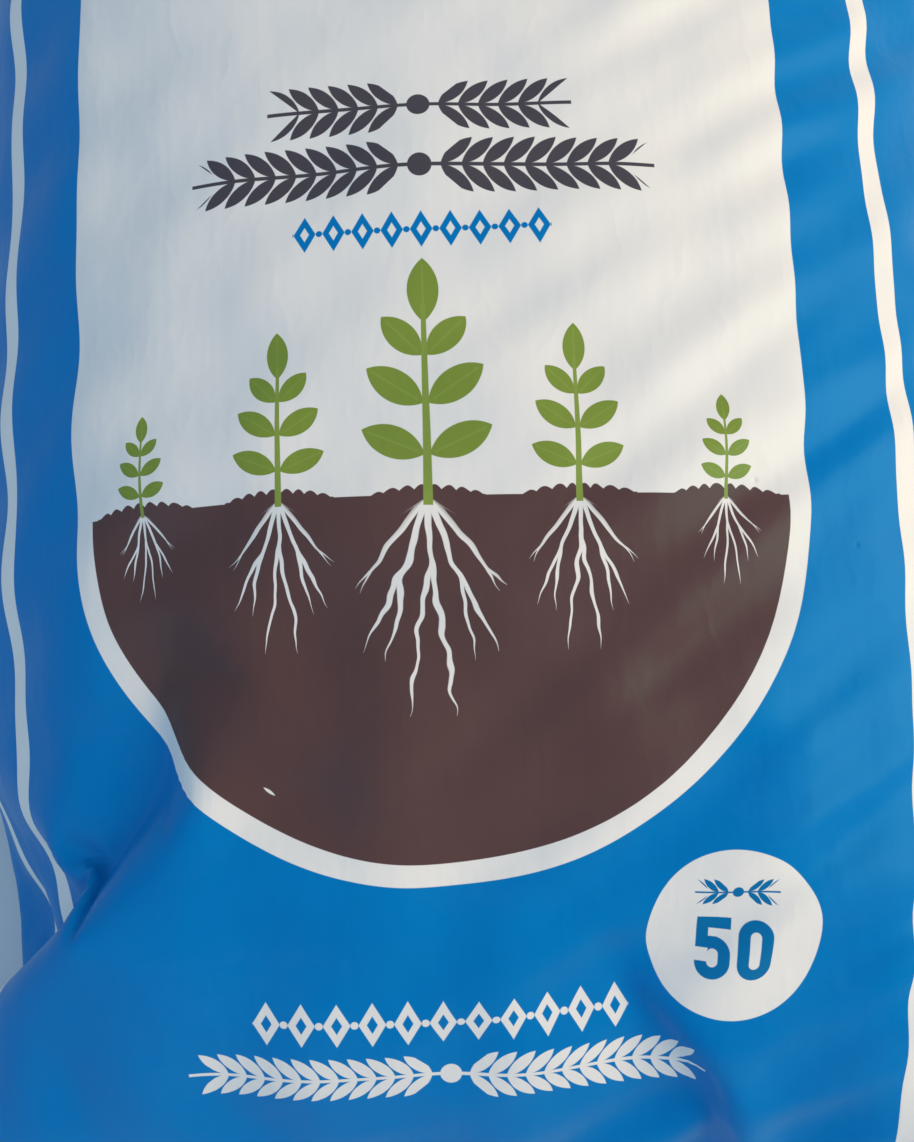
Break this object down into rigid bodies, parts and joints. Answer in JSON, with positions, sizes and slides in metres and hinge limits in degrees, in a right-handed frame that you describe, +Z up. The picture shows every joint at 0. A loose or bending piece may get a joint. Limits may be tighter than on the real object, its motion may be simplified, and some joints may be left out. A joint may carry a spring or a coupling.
{
  "type": "compost bag",
  "caption": "Filled sack of printed film lying on its back: a flat tube heat-sealed across both ends, rounded by its fill, with folds towards its corners.",
  "frame": {"origin": "middle of the bag's box, on the floor that the bag lies on", "axes": "+Y from the foot of the bag to its head, +X across it to the right of the print, +Z up out of the printed face"},
  "size_m": [0.5532, 0.8806, 0.1657],
  "materials": {
    "film": "glossy printed polythene film, blue with a white panel and a brown field"
  },
  "bodies": {
    "root": {"bag": "film"}
  },
  "joints": []
}
